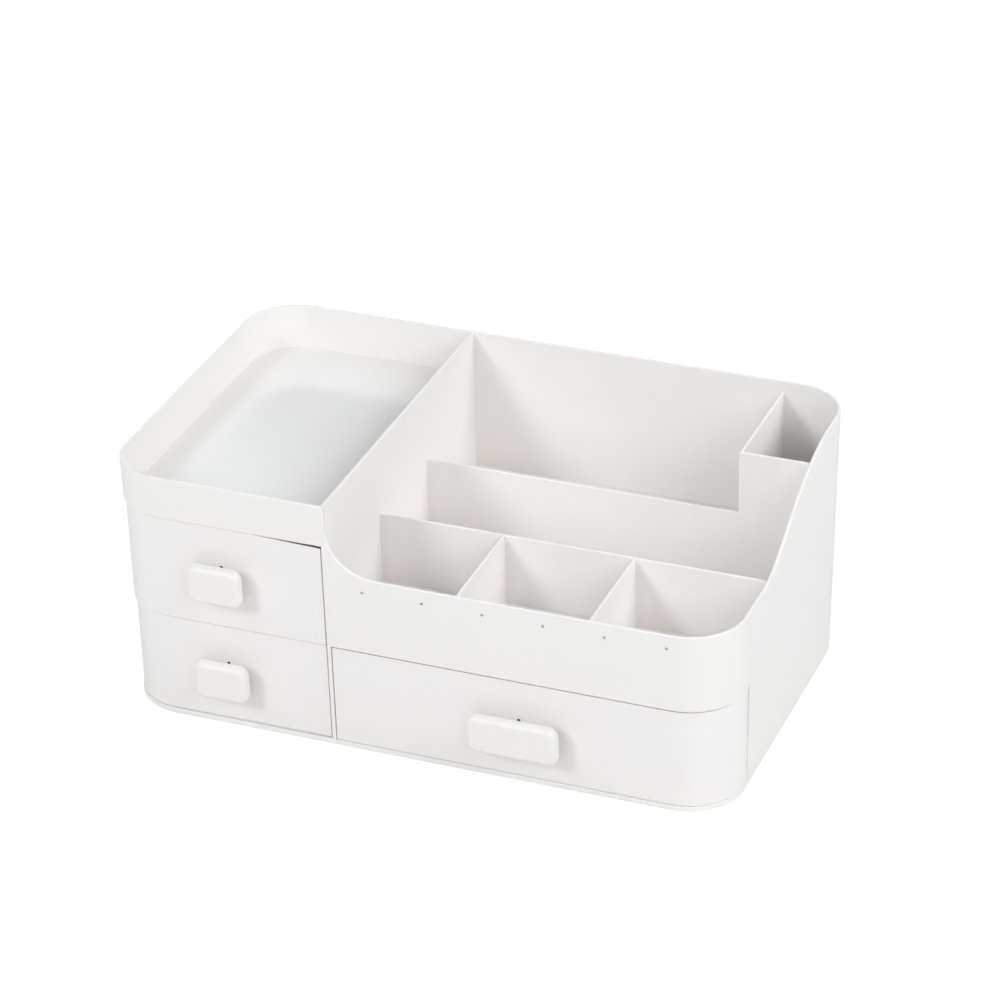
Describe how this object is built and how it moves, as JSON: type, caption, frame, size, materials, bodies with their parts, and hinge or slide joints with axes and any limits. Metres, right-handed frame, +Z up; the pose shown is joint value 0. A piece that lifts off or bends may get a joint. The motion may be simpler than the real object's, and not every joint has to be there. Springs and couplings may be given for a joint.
{
  "type": "makeup organizer with drawers",
  "caption": "Desk-top cosmetics organizer: round-cornered leaning housing with a tray, an open divided bay with a sweeping rim and sliding drawers with plate handles.",
  "frame": {"origin": "middle of the flat underside, midway between the sides and between the front and rear edges of the housing's outline", "axes": "+X to the right as seen from the front, +Y towards the rear, +Z up; the drawers open towards -Y"},
  "size_m": [0.36, 0.2329, 0.1524],
  "materials": {
    "housing": "off-white moulded plastic, satin",
    "tray_floor": "cool off-white plastic, polished enough to mirror the tray's walls softly",
    "drawer": "off-white moulded plastic, satin",
    "handle": "white moulded plastic, soft gloss"
  },
  "bodies": {
    "housing": {"housing_shell": "housing", "base_plate": "housing", "partition_wall": "housing", "tray_floor": "tray_floor", "drawer_shelf": "housing", "bay_floor": "housing", "front_divider": "housing", "mid_divider": "housing", "left_cross_divider": "housing", "right_cross_divider": "housing", "pen_box": "housing", "stop_lugs": "housing"},
    "upper_left_drawer": {"upper_left_drawer_front": "drawer", "upper_left_drawer_tub": "drawer", "upper_left_handle": "handle"},
    "lower_left_drawer": {"lower_left_drawer_front": "drawer", "lower_left_drawer_tub": "drawer", "lower_left_handle": "handle"},
    "right_drawer": {"right_drawer_front": "drawer", "right_drawer_tub": "drawer", "right_handle": "handle"}
  },
  "joints": [
    {"name": "upper_left_slide", "type": "slide", "parent": "housing", "child": "upper_left_drawer", "axis": [0, -1, 0], "range_m": [0, 0.1598]},
    {"name": "lower_left_slide", "type": "slide", "parent": "housing", "child": "lower_left_drawer", "axis": [0, -1, 0], "range_m": [0, 0.1589]},
    {"name": "right_slide", "type": "slide", "parent": "housing", "child": "right_drawer", "axis": [0, -1, 0], "range_m": [0, 0.1589]}
  ]
}
